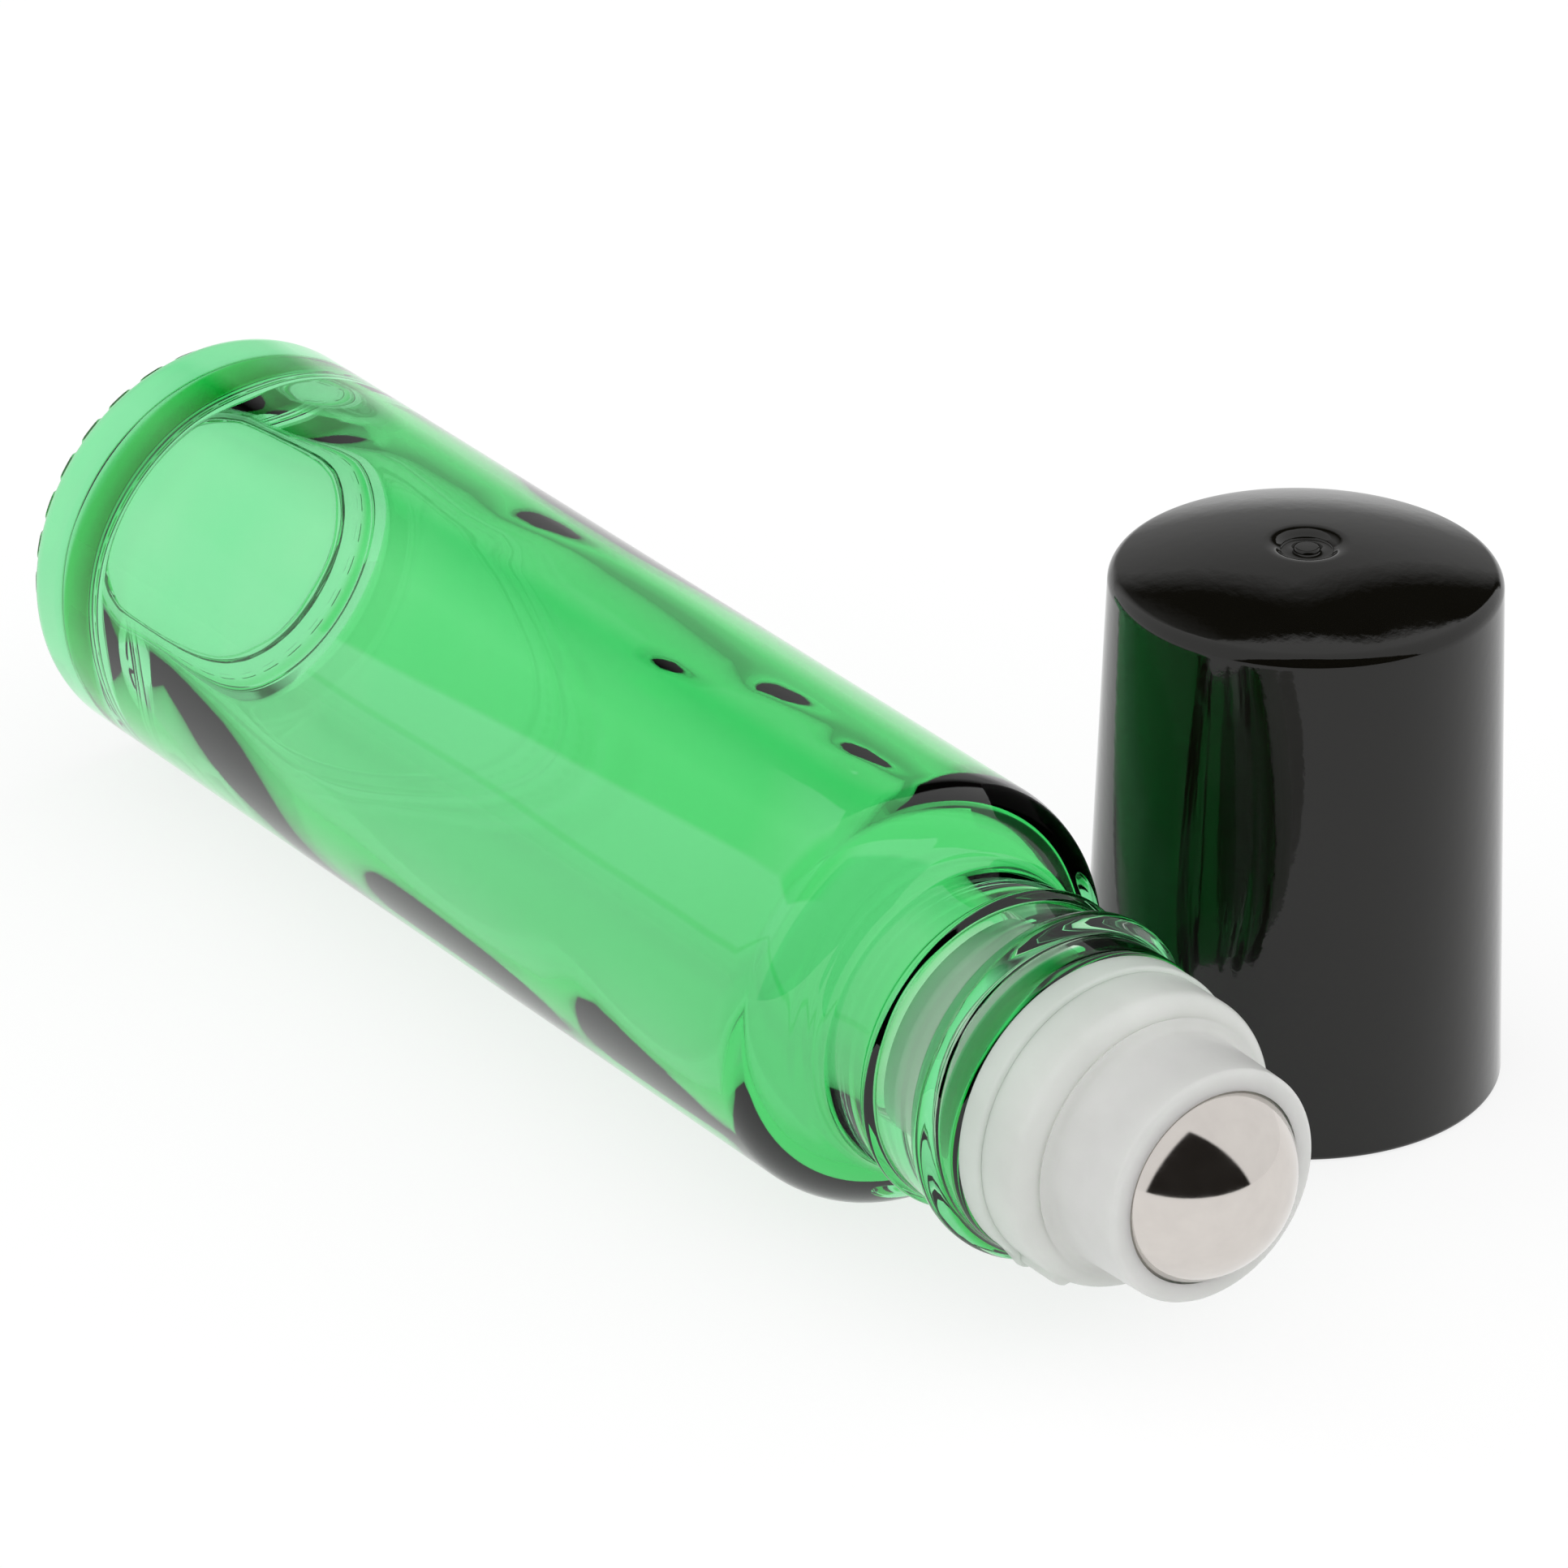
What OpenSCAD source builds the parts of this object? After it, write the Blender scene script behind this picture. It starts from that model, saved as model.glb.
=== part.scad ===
// Roll-on bottle: a small glass bottle lying on its side, the roller housing pressed into its
// neck, the steel ball that turns in the housing, and the cap standing on its open rim beside
// the neck. Lengths are in millimetres. X runs from the base of the bottle to the ball, Y runs
// from the bottle to the cap, Z is up, and the ground is at Z zero.

/* [Glass bottle] */
// Outside diameter of the barrel
barrel_d = 20; // [19:0.5:26]
// Height of the glass from its base to its lip
glass_h = 69; // [60:1:90]
// Wall of the barrel
wall_t = 1.9; // [1.2:0.1:2.3]
// Thickness of the glass at the middle of the base
floor_t = 2.4; // [1.6:0.1:4]
// Depth of the push-up under the base
push_up = 1.2; // [0.6:0.1:2]
// Width of the flat ring that the base stands on
foot_w = 1.8; // [1:0.1:2.6]
// Radius of the heel between the base and the barrel
heel_r = 1.7; // [1:0.1:3]
// Radius of the corner between the inner floor and the wall
floor_r = 3; // [1.5:0.1:4]
// Radius of the shoulder outside
shoulder_r = 3.4; // [2:0.1:3.6]
// Radius of the shoulder inside
inner_shoulder_r = 2.6; // [1.5:0.1:3]

/* [Neck finish] */
// Outside diameter of the neck
neck_d = 14.2; // [13.6:0.1:15]
// Length of the neck from the shoulder to the lip
neck_h = 9.4; // [8:0.1:12]
// Bore of the neck
bore_d = 10.6; // [10.2:0.1:11.2]
// Diameter over the bead at the foot of the neck, the same as over the thread
bead_d = 15.5; // [15.2:0.1:16]
// Radius of the bead's rounded edge
bead_r = 0.75; // [0.5:0.05:1]
// Distance from the lip down to the middle of the bead
bead_drop = 6.3; // [5:0.1:7]
// Rounding of the lip outside
lip_r = 0.6; // [0.3:0.05:0.8]
// Rounding of the lip inside
mouth_r = 0.4; // [0.2:0.05:0.6]

/* [Roller housing] */
// Thickness of the flange that sits on the lip
flange_t = 1.3; // [0.8:0.1:2]
// How far the flange stays inside the edge of the lip
flange_inset = 0.1; // [0:0.05:0.5]
// Length of the plug inside the neck
plug_h = 7; // [5:0.25:8]
// Wall of the plug
plug_wall = 0.9; // [0.7:0.05:1.2]
// Number of sealing beads round the plug
plug_beads = 3; // [1:1:3]
// Distance from one sealing bead to the next
plug_bead_step = 1.9; // [1.4:0.1:2]
// Diameter of the collar above the flange
collar_d = 13.6; // [13:0.1:13.8]
// Height of the collar above the flange
collar_h = 3; // [2.6:0.1:3.4]
// Rounding of the collar's shoulder
collar_r = 0.9; // [0.4:0.1:1.2]
// Wall of the nose round the ball
nose_wall = 0.65; // [0.5:0.05:0.9]
// Height of the lip of the nose above the middle of the ball
nose_over = 1.9; // [1.5:0.1:2.3]
// Diameter of the throat that feeds the ball
throat_d = 5.2; // [4:0.1:6]
// Thickness of the seat under the ball
seat_t = 0.9; // [0.7:0.05:1.2]
// Number of feed slots in the seat
feed_slots = 4; // [3:1:6]
// Width of a feed slot
feed_slot_w = 0.9; // [0.6:0.1:1.2]
// Length of a feed slot outwards from the throat
feed_slot_l = 0.9; // [0.5:0.1:1.1]

/* [Roller ball] */
// Diameter of the ball
ball_d = 9.5; // [9:0.1:9.8]
// Height of the middle of the ball above the lip of the glass
ball_up = 6.6; // [6.2:0.1:7.4]

/* [Cap] */
// Outside diameter of the cap at its rim
cap_d = 18.84; // [18.4:0.1:21]
// Outside diameter of the cap at the edge of its top
cap_top_d = 17.42; // [16.8:0.1:18.2]
// Height of the cap over its crown
cap_h = 25.8; // [24.8:0.2:30]
// Rise of the crown above the edge of the top
crown_rise = 1.5; // [0.8:0.1:2]
// Rounding of the edge of the top
crown_edge_r = 0.7; // [0.4:0.1:1.2]
// Thickness of the crown at its middle
crown_t = 1.6; // [1.2:0.1:2]
// Wall of the cap above the threaded length
cap_wall = 1.35; // [1:0.05:1.5]
// Rounding where the inner wall meets the inner crown
cap_inner_r = 1.2; // [0.6:0.1:2]
// Wall of the sealing ring that presses on the housing
seal_ring_t = 0.7; // [0.5:0.05:0.9]
// Diameter of the gate mark in the middle of the crown
gate_d = 3.4; // [2.4:0.1:4]
// Depth of the gate mark
gate_depth = 0.35; // [0.2:0.05:0.5]
// Diameter of the gate nub in the mark
gate_nub_d = 1.1; // [0.6:0.1:1.4]

/* [Layout] */
// Distance from the base of the bottle to the axis of the standing cap
cap_place = 56.4; // [50:0.2:64]
// Gap between the barrel and the rim of the cap, seen from above
cap_gap = 1.73; // [1:0.05:6]

/* [Fits] */
// Gap between the ball and its socket, on the radius
ball_clearance = 0.07; // [0.05:0.01:0.1]
// Gap between the crests of the plug's beads and the bore, on the radius
plug_clearance = 0.02; // [0.01:0.01:0.05]
// Height of the sealing beads above the plug
plug_bead_h = 0.12; // [0.06:0.02:0.2]
// Gap between the bead on the neck and the bore of the cap, on the radius
thread_clearance = 0.2; // [0.1:0.05:0.3]
// Gap between the sealing ring and the lip of the nose with the cap screwed home
seal_clearance = 0.1; // [0.05:0.05:0.3]

/* [Hidden] */
$fn = 96;

// Colours, as the photograph shows them
glass_green = [0.27, 0.80, 0.45, 0.65];
milky_white = [0.84, 0.88, 0.85];
steel = [0.80, 0.77, 0.74];
cap_black = [0.07, 0.07, 0.08];

// Segments along each rounded edge
arc_steps = 10;
// Overrun of every cut past the face that it opens
overrun = 1;

// Radii of the glass
barrel_r = barrel_d / 2;
inner_r = barrel_r - wall_t;
neck_r = neck_d / 2;
bore_r = bore_d / 2;
// Fillet at the foot of the neck outside, and at the foot of its bore
neck_fillet = 0.8;
bore_fillet = 1.2;
// Angle through which the shoulder turns before it runs straight to the neck
shoulder_turn = 70;
// Height of the foot of the neck, and of the foot of its bore
neck_z = glass_h - neck_h;
bore_drop = 1.2;
bore_z = neck_z - bore_drop;
// Height of the inner floor
inner_floor_z = push_up + floor_t;
// Radius of the sphere that forms the push-up
push_up_r = barrel_r - heel_r - foot_w;
dome_r = (pow(push_up_r, 2) + pow(push_up, 2)) / (2 * push_up);

// Radii and heights of the ball and its socket, with heights along the bottle's axis
ball_r = ball_d / 2;
socket_r = ball_r + ball_clearance;
ball_z = glass_h + ball_up;
nose_r = socket_r + nose_wall;
nose_z = ball_z + nose_over;
// Taper of the nose, on the radius, and the roundings of its lip and of its foot
nose_taper = 0.1;
nose_edge_r = 0.3;
nose_fillet = 0.5;
throat_r = throat_d / 2;

// Radii and heights of the housing
flange_r = neck_r - flange_inset;
flange_edge_r = 0.25;
flange_z = glass_h + flange_t;
collar_outer_r = collar_d / 2;
collar_z = flange_z + collar_h;
// Fall of the collar's top from the foot of the nose to its shoulder
collar_fall = 0.15;
plug_r = bore_r - plug_clearance - plug_bead_h;
plug_tip_z = glass_h - plug_h;
plug_inner_r = plug_r - plug_wall;
// Chamfer on the tip of the plug, and the place of the first bead above the tip
plug_lead = 0.5;
plug_bead_z = plug_tip_z + 1.5;
// Radius of the section of a sealing bead
plug_bead_r = 0.4;

// Radii and heights of the cap, with heights from its rim
cap_r = cap_d / 2;
cap_top_r = cap_top_d / 2;
cap_bore_r = bead_d / 2 + thread_clearance;
cap_upper_r = cap_top_r - cap_wall;
// Roundings of the rim outside and inside
rim_edge_r = 0.3;
// Where the rim comes on the bottle's axis with the cap screwed home
rim_home_z = neck_z - neck_fillet;
// Top of the wide bore that takes the thread, and the height of the slope above it
cap_bore_h = flange_z - rim_home_z;
cap_bore_slope = 0.7;
cap_inner_h = cap_h - crown_t;
seal_ring_z = nose_z - rim_home_z + seal_clearance;
seal_ring_r = nose_r - nose_taper - nose_edge_r;
// Sphere that forms the crown
crown_r = (pow(cap_top_r, 2) + pow(crown_rise, 2)) / (2 * crown_rise);
crown_centre_z = cap_h - crown_r;
// Middle of the rounding between the side and the crown
crown_edge_z = crown_centre_z + sqrt(pow(crown_r - crown_edge_r, 2) - pow(cap_top_r - crown_edge_r, 2));
crown_edge_turn = atan2(crown_edge_z - crown_centre_z, cap_top_r - crown_edge_r);
// Height of the nub in the gate mark
gate_nub_h = 0.2;

// The origin is on the ground under the middle of the whole layout
total_x = ball_z + ball_r;
total_y = barrel_d + cap_gap + cap_d;
shift_x = -total_x / 2;
shift_y = barrel_r - total_y / 2;

// Points of an arc about a middle point, from one angle to another
function arc(middle, radius, from, to) = [
    for (i = [0 : arc_steps])
        let (angle = from + (to - from) * i / arc_steps)
            [middle[0] + radius * cos(angle), middle[1] + radius * sin(angle)]
];

// Radius of a shoulder arc, limited by the room between the wall and the neck
function shoulder_fit(wide, narrow, radius, fillet) =
    min(radius, (wide - narrow) / (1 - cos(shoulder_turn)) - fillet);

// Points from a wide cylinder over a rounded shoulder to a narrow one that starts at top
function shoulder(wide, narrow, radius, fillet, top) =
    let (
        r = shoulder_fit(wide, narrow, radius, fillet),
        low = [wide - r * (1 - cos(shoulder_turn)), 0],
        high = [narrow + fillet * (1 - cos(shoulder_turn)), top - fillet * sin(shoulder_turn)],
        low_z = high[1] - (low[0] - high[0]) / tan(shoulder_turn)
    )
    concat(
        arc([wide - r, low_z - r * sin(shoulder_turn)], r, 0, shoulder_turn),
        arc([narrow + fillet, top], fillet, 180 + shoulder_turn, 180)
    );

// Puts what is drawn upright on the lying axis of the bottle
module on_bottle_axis() {
    translate([shift_x, shift_y, barrel_r])
        rotate([0, 90, 0])
            children();
}

// Puts what is drawn upright where the cap stands
module where_cap_stands() {
    translate([shift_x + cap_place, shift_y + barrel_r + cap_gap + cap_r, 0])
        children();
}

module glass_outline() {
    polygon(concat(
        arc([0, push_up - dome_r], dome_r, 90, acos(push_up_r / dome_r)),
        arc([barrel_r - heel_r, heel_r], heel_r, -90, 0),
        shoulder(barrel_r, neck_r, shoulder_r, neck_fillet, neck_z),
        arc([neck_r - lip_r, glass_h - lip_r], lip_r, 0, 90),
        [[0, glass_h]]
    ));
    translate([bead_d / 2 - bead_r, glass_h - bead_drop])
        circle(r = bead_r);
}

module glass_hollow() {
    polygon(concat(
        [[0, inner_floor_z]],
        arc([inner_r - floor_r, inner_floor_z + floor_r], floor_r, -90, 0),
        shoulder(inner_r, bore_r, inner_shoulder_r, bore_fillet, bore_z),
        arc([bore_r + mouth_r, glass_h - mouth_r], mouth_r, 180, 90),
        [
            [bore_r + mouth_r, glass_h + overrun],
            [0, glass_h + overrun]
        ]
    ));
}

// The glass bottle: push-up base, heel, barrel, shoulder and beaded neck
module bottle() {
    color(glass_green)
        on_bottle_axis()
            rotate_extrude()
                difference() {
                    glass_outline();
                    glass_hollow();
                }
}

module housing_outline() {
    polygon(concat(
        [
            [0, plug_tip_z],
            [plug_r - plug_lead, plug_tip_z],
            [plug_r, plug_tip_z + plug_lead],
            [plug_r, glass_h],
            [flange_r, glass_h]
        ],
        arc([flange_r - flange_edge_r, flange_z - flange_edge_r], flange_edge_r, 0, 90),
        [[collar_outer_r, flange_z]],
        arc([collar_outer_r - collar_r, collar_z - collar_fall - collar_r], collar_r, 0, 90),
        arc([nose_r + nose_fillet, collar_z + nose_fillet], nose_fillet, -90, -180),
        arc([nose_r - nose_taper - nose_edge_r, nose_z - nose_edge_r], nose_edge_r, 0, 90),
        [[0, nose_z]]
    ));
    for (i = [0 : plug_beads - 1])
        translate([plug_r + plug_bead_h - plug_bead_r, plug_bead_z + i * plug_bead_step])
            circle(r = plug_bead_r);
}

// The inside of the plug, roofed by the round underside of the seat
module plug_hollow() {
    difference() {
        translate([0, plug_tip_z - overrun])
            square([plug_inner_r, ball_z - plug_tip_z + overrun]);
        translate([0, ball_z])
            circle(r = socket_r + seat_t);
    }
}

module feed_slot() {
    translate([0, -feed_slot_w / 2, ball_z - socket_r - seat_t - overrun])
        cube([throat_r + feed_slot_l, feed_slot_w, socket_r + seat_t]);
}

// The moulded housing: beaded plug, flange, collar, nose, ball socket and slotted seat
module roller_housing() {
    color(milky_white)
        on_bottle_axis()
            difference() {
                rotate_extrude()
                    intersection() {
                        difference() {
                            housing_outline();
                            plug_hollow();
                        }
                        square([flange_r + overrun, nose_z + overrun]);
                    }
                translate([0, 0, ball_z])
                    sphere(r = socket_r);
                translate([0, 0, plug_tip_z])
                    cylinder(r = throat_r, h = ball_z - plug_tip_z);
                for (i = [0 : feed_slots - 1])
                    rotate(i * 360 / feed_slots)
                        feed_slot();
            }
}

// The steel ball, trapped in the socket by the lip of the nose
module roller_ball() {
    color(steel)
        on_bottle_axis()
            translate([0, 0, ball_z])
                sphere(r = ball_r);
}

module cap_outline() {
    polygon(concat(
        [[0, 0]],
        arc([cap_r - rim_edge_r, rim_edge_r], rim_edge_r, -90, 0),
        arc([cap_top_r - crown_edge_r, crown_edge_z], crown_edge_r, 0, crown_edge_turn),
        arc([0, crown_centre_z], crown_r, crown_edge_turn, 90)
    ));
}

module cap_hollow() {
    polygon(concat(
        [
            [0, -overrun],
            [cap_bore_r + rim_edge_r, -overrun],
            [cap_bore_r + rim_edge_r, 0],
            [cap_bore_r, rim_edge_r],
            [cap_bore_r, cap_bore_h],
            [cap_upper_r, cap_bore_h + cap_bore_slope]
        ],
        arc([cap_upper_r - cap_inner_r, cap_inner_h - cap_inner_r], cap_inner_r, 0, 90),
        [[0, cap_inner_h]]
    ));
}

// The tapered cap: wide threaded bore, narrower upper wall, sealing ring and gate mark
module cap() {
    color(cap_black)
        where_cap_stands()
            rotate_extrude()
                difference() {
                    union() {
                        difference() {
                            cap_outline();
                            cap_hollow();
                        }
                        translate([seal_ring_r - seal_ring_t, seal_ring_z])
                            square([seal_ring_t, cap_inner_h + crown_t / 2 - seal_ring_z]);
                    }
                    translate([gate_nub_d / 2, cap_h - gate_depth])
                        square([(gate_d - gate_nub_d) / 2, overrun]);
                    translate([0, cap_h - gate_depth + gate_nub_h])
                        square([gate_d / 2, overrun]);
                }
}

bottle();
roller_housing();
roller_ball();
cap();
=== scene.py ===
"""Looks of the roll-on bottle: green glass, milky roller housing, steel ball and black cap."""

import math

import bmesh
import bpy
from mathutils import Matrix, Vector, noise


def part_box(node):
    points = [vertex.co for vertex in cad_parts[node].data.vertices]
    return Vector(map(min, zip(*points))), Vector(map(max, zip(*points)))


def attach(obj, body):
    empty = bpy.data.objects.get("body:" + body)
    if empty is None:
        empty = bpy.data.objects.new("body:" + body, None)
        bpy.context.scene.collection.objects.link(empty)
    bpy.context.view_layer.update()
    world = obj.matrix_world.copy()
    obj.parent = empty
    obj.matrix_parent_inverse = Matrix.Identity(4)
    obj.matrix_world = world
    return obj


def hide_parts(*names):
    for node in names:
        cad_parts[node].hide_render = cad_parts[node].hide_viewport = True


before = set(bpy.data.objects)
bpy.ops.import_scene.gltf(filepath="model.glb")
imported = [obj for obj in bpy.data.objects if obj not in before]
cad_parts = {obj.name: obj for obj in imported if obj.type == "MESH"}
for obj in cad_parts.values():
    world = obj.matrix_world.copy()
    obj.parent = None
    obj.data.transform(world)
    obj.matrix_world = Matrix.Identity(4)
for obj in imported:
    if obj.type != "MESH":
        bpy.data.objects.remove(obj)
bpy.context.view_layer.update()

# Lengths are in millimetres, as in the source of the part, unless a comment says otherwise or
# their name ends in _M, for metres
MM = 0.001

# Places that follow from the frame
bottle_low, bottle_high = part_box("bottle")
ball_low, ball_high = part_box("roller_ball")
cap_low, cap_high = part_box("cap")
BARREL_R = (bottle_high.z - bottle_low.z) / 2 / MM
GLASS_H = (bottle_high.x - bottle_low.x) / MM
BALL_R = (ball_high.z - ball_low.z) / 2 / MM
BALL_Z = ((ball_low.x + ball_high.x) / 2 - bottle_low.x) / MM
CAP_R = (cap_high.x - cap_low.x) / 2 / MM

# Where the upright profiles are set down: on the lying axis, and where the cap stands
AXIS_PLACE = Matrix((
    (0, 0, MM, bottle_low.x),
    (MM, 0, 0, (bottle_low.y + bottle_high.y) / 2),
    (0, MM, 0, (bottle_low.z + bottle_high.z) / 2),
    (0, 0, 0, 1),
))
CAP_PLACE = Matrix((
    (MM, 0, 0, (cap_low.x + cap_high.x) / 2),
    (0, MM, 0, (cap_low.y + cap_high.y) / 2),
    (0, 0, MM, cap_low.z),
    (0, 0, 0, 1),
))

# How near a point has to be to lie on a wall or on the axis, and which edges stay sharp
TOUCH = 0.01
ON_AXIS = 1e-6
SHARP_FROM = math.radians(40)

# Glass: the outline of its walls
WALL_T = 1.9
FLOOR_T = 2.1
PUSH_UP = 1.5
PUSH_UP_SLOPE = math.radians(52)
PUSH_UP_TOP_R = 0.3
PUSH_UP_FOOT_R = 0.3
FOOT_W = 0.1
HEEL_R = 1.7
FLOOR_R = 1.9
SHOULDER_R = 3.4
INNER_SHOULDER_R = 1.4
SHOULDER_TURN = math.radians(70)
NECK_R = 7.1
NECK_H = 9.4
NECK_FILLET = 0.8
BORE_R = 5.3
BORE_FILLET = 1.2
BORE_DROP = 1.2
LIP_R = 0.6
MOUTH_R = 0.4

# Glass: how finely it is cut, which is close where the relief or the coat changes fast
BASE_CUT = 0.5
LOW_BARREL_H = 5
LOW_BARREL_CUT = 0.4
BARREL_CUT = 2
SHOULDER_H = 6
NECK_CUT = 0.12
INNER_SHOULDER_CUT = 0.15
INNER_CUT = 1.5
GLASS_SEGMENTS = 300

# Glass: bead and thread of the neck, with angles in degrees. A ridge is flat for the first share
# of its width on each side of its middle, and ends at the second.
CREST_R = 7.75
BEAD_RISE = 0.35
BEAD_W = 1.0
BEAD_DROP = 6.3
THREAD_PITCH = 2.7
THREAD_W = 1.9
THREAD_MIDDLE_DROP = 2.5
THREAD_MIDDLE_ANGLE = 139
THREAD_TURNS = 1.25
THREAD_END = 22
THREAD_LAPS = 3
CREST_SHARE = 0.06
FOOT_SHARE = 0.5

# Glass: knurled bearing ring, with its pads placed in degrees along the arc of the heel
KNURLS = 30
KNURL_DEPTH = 0.12
KNURL_FROM = 32
KNURL_TO = 52
KNURL_EDGE = 4
KNURL_BED_EDGE = 22
KNURL_GAP_SHARES = (0.15, 0.4)

# Glass: uneven edge of the push-up. It fades in between two distances inside the foot, and over
# a small rise above it. A circle is the one in the noise that a turn of the glass follows.
WOBBLE_DEPTH = 0.16
WOBBLE_CIRCLE = 2.4
WOBBLE_START = 4
WOBBLE_FULL = 2
WOBBLE_RISE = 0.2

# Glass: rings on the inner shoulder, with a sway in radians once a turn and another twice a
# turn. The inner shoulder is told from the outer one by its reach.
RIPPLE_DEPTH = 0.022
RIPPLE_SPACING = 0.62
RIPPLE_FADE = 0.7
RIPPLE_SWAY = 2
RIPPLE_DOUBLE_SWAY = 3
INNER_SHOULDER_REACH = 6.3

# Glass: slow waves of the inner wall. They fade in between two heights above its floor, and out
# over WAVE_FADE up to this drop below the neck. In the bend of the floor, all relief of the
# wall fades in until this share of the bend is left.
WAVE_DEPTH = 0.10
WAVE_CIRCLE = 0.9
WAVE_LENGTH = 14
WAVE_START = 1
WAVE_FULL = 6
WAVE_DROP = 3
WAVE_FADE = 4
BEND_LEFT_SHARE = 0.25

# Glass: thicker places of the inner wall, and thinner ones with a depth below zero. Each has its
# angle in degrees, its height, its half widths in degrees and millimetres, and its depth.
THICK_PLACES = (
    (205, 6, 50, 15, 0.55),
    (85, 6, 30, 9, 0.4),
    (80, 25.5, 16, 4, -0.12),
    (203, 34, 22, 10, -0.24),
    (100, 40, 9, 2.6, -0.19),
    (86, 45.5, 12, 3, -0.14),
    (88, 52, 8, 2.3, -0.15),
    (200, 48.8, 24, 7, -0.34),
)

# Coat of colour on the outside of the glass, where 1 is the plain coat of the barrel. The base
# has little of it, and it grows over the heel.
BASE_COAT = 0.1
COAT_START = 0.3
COAT_FADE = 0.8

# Coat: painted shade, a deep band above the heel and deep pads on its knurls, for the dark seen
# through the glass there, on one side of the bottle, whose middle, half width and fade are in
# degrees
BAND_LOW = 3.0
BAND_HIGH = 6.1
BAND_FADE = 0.6
PAINTED_SHADE_BAND_COAT = 5.5
BAND_MIDDLE = 130
BAND_HALF = 85
BAND_SIDE_FADE = 42.5
PAINTED_SHADE_KNURL_COAT = 5.0

# Coat: painted light, a part of the barrel with less coat between two angles in degrees, for the
# lighter floor seen through the glass there; the second angle leans by this much for each
# millimetre of height. Over the last pair of heights, and above them, the painted light also goes
# on past the second angle.
PAINTED_LIGHT_COAT = 0.58
PAINTED_LIGHT_START = 215
PAINTED_LIGHT_START_FADE = 25
PAINTED_LIGHT_END = 311
PAINTED_LIGHT_END_LEAN = 0.40
PAINTED_LIGHT_END_FADE = 1.2
PAINTED_LIGHT_BEYOND = (33, 41)

# Coat: painted shade, a narrow dark line of more coat down the painted light, for the line where
# the bottle meets the floor seen through the glass, with its angle and half width in degrees. It
# fades in at its foot, and fades out below the neck: the last two are the drop below the neck where
# it ends and the length of that fade.
SHADE_LINE_ANGLE = 297
SHADE_LINE_W = 0.8
SHADE_LINE_COAT = 1.5
SHADE_LINE_FOOT = (1.5, 4)
SHADE_LINE_DROP = 8
SHADE_LINE_FADE = 8

# Coat: what it gains up the barrel, how deep it is on the shoulder, the share of it that the
# neck keeps, what the crest of the thread and the lip gain, and how much the thread's flanks lack,
# which is a painted highlight along each side of the thread
UPPER_COAT = 0.12
UPPER_RANGE = (20, 50)
SHOULDER_COAT = 1.2
SHOULDER_RANGE = (50, 55)
NECK_COAT = 0.35
NECK_COAT_FROM = 62.3
NECK_COAT_FADE = 2
THREAD_COAT = 0.8
FLANK_PAINTED_HIGHLIGHT = 0.85
LIP_COAT = 2.2
LIP_COAT_DROP = 1.5
LIP_COAT_FADE = 0.4

# Roller housing
PLUG_H = 7.0
PLUG_CLEARANCE = 0.02
PLUG_BEAD_H = 0.12
PLUG_BEAD_R = 0.4
PLUG_BEAD_LIFT = 1.5
PLUG_BEAD_SPACING = 1.9
PLUG_BEADS = 3
PLUG_WALL = 0.9
PLUG_LEAD = 0.5
FLANGE_T = 1.3
FLANGE_INSET = 0.1
FLANGE_EDGE_R = 0.25
COLLAR_R = 6.8
COLLAR_H = 3.0
COLLAR_EDGE_R = 0.9
COLLAR_FALL = 0.15
SOCKET_GAP = 0.07
NOSE_WALL = 0.65
NOSE_OVER = 1.9
NOSE_TAPER = 0.1
NOSE_EDGE_R = 0.3
NOSE_FILLET = 0.5
THROAT_R = 2.6
SEAT_T = 0.9
HOUSING_SEGMENTS = 256

# Nub of flash on the edge of the flange, with its angle and half width in degrees
FLASH_ANGLE = 232
FLASH_HALF = 5
FLASH_RISE = 0.28
FLASH_DEPTH = 0.3
FLASH_SIDE_SHARE = 0.6

# Ball
BALL_SEGMENTS = 192

# Cap
CAP_TOP_R = 8.71
CAP_H = 25.8
CROWN_RISE = 1.5
CROWN_EDGE_R = 0.7
CROWN_T = 1.6
CAP_BORE_R = 7.95
CAP_BORE_CUT = 0.15
CAP_STEP_H = 0.7
CAP_UPPER_R = 7.36
CAP_INNER_R = 1.2
RIM_EDGE_R = 0.3
SEAL_RING_T = 0.7
SEAL_CLEARANCE = 0.1
CAP_THREAD_Z = 6.0
CAP_THREAD_ANGLE = 0
CAP_THREAD_TURNS = 1.5
CAP_THREAD_W = 1.1
CAP_THREAD_RISE = 0.5
CAP_SEGMENTS = 288

# Gate mark in the crown: a dip with a rounded edge that turns down by this many degrees, and a
# flat floor with a low nub in its middle
GATE_R = 2.0
GATE_EDGE_R = 1.1
GATE_FALL = 35
GATE_DEPTH = 0.42
GATE_FLOOR_INSET = 0.2
GATE_FLOOR_R = 0.1
GATE_NUB_R = 0.55
GATE_NUB_SPREAD = 0.15
GATE_NUB_EDGE_R = 0.15
GATE_NUB_EDGE_INSET = 0.1
GATE_NUB_EDGE_LIFT = 0.05
GATE_NUB_LIFT = 0.17


def arc(middle, radius, start, end, steps=12):
    """Points of an arc about middle, in degrees from start to end."""
    angles = [math.radians(start + (end - start) * i / steps) for i in range(steps + 1)]
    return [(middle[0] + radius * math.cos(a), middle[1] + radius * math.sin(a)) for a in angles]


def straight(start, end, cut):
    """Points from start up to end, without end, no more than cut apart."""
    count = max(1, math.ceil(math.dist(start, end) / cut))
    return [
        (start[0] + (end[0] - start[0]) * i / count, start[1] + (end[1] - start[1]) * i / count)
        for i in range(count)
    ]


def dense(points, cut):
    """The same outline with its long straights cut short."""
    made = []
    for start, end in zip(points, points[1:]):
        made += straight(start, end, cut)
    return made + [points[-1]]


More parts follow.
